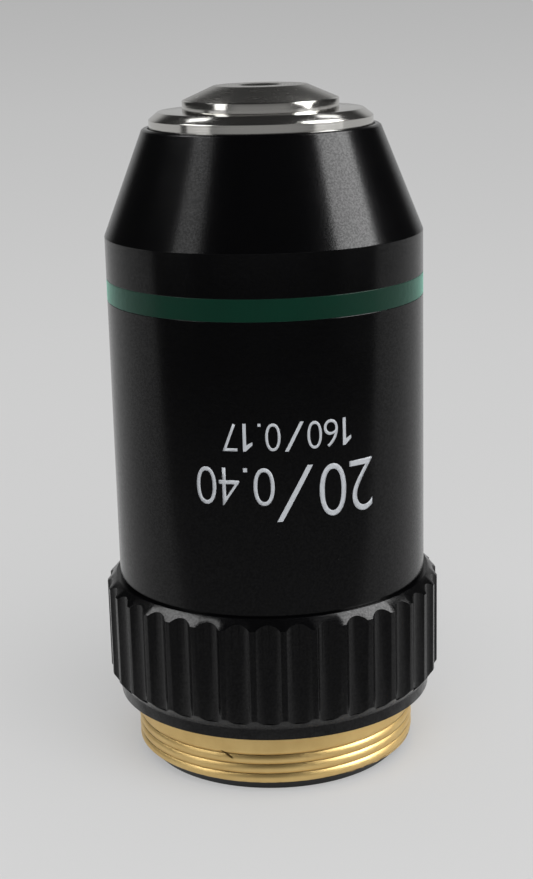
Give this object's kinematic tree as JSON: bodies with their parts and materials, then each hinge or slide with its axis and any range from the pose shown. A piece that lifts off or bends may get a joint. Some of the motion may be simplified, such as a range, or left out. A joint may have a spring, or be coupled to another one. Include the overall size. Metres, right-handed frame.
{
  "type": "microscope objective",
  "caption": "Screw-in microscope objective with a black barrel and cone, green band, fluted grip ring, brass mounting thread and a sprung polished nose that slides in to protect the slide.",
  "frame": {"origin": "on the optical axis, in the plane of the mounting shoulder where the thread begins", "axes": "+Z along the optical axis towards the nose, +X towards the guide screw"},
  "size_m": [0.024, 0.024, 0.0479],
  "materials": {
    "bare_brass": "satin",
    "satin_black": "satin",
    "green_enamel": "gloss",
    "dull_black": "matte",
    "steel": "satin",
    "polished_nickel": "gloss",
    "inner_brass": "satin",
    "optical_glass": "gloss"
  },
  "bodies": {
    "housing": {"mount_tube": "bare_brass", "grip_ring": "satin_black", "outer_sleeve": "satin_black", "colour_band": "green_enamel", "rear_baffle": "dull_black", "guide_screw": "steel", "compression_spring": "steel"},
    "nose": {"nose_barrel": "polished_nickel", "front_lens_cell": "polished_nickel", "front_lens": "optical_glass", "spacing_shim": "inner_brass", "middle_lens_cell": "inner_brass", "middle_flint_lens": "optical_glass", "middle_crown_lens": "optical_glass", "middle_spacer": "dull_black", "rear_lens_cell": "inner_brass", "rear_flint_lens": "optical_glass", "rear_crown_lens": "optical_glass", "aperture_stop": "dull_black", "retaining_ring": "inner_brass"}
  },
  "joints": [
    {"name": "nose_slide", "type": "slide", "parent": "housing", "child": "nose", "axis": [0, 0, -1], "range_m": [0, 0.0025], "stiffness_N_per_m": 300, "springref_m": -0.006, "deforming": ["compression_spring"]}
  ]
}
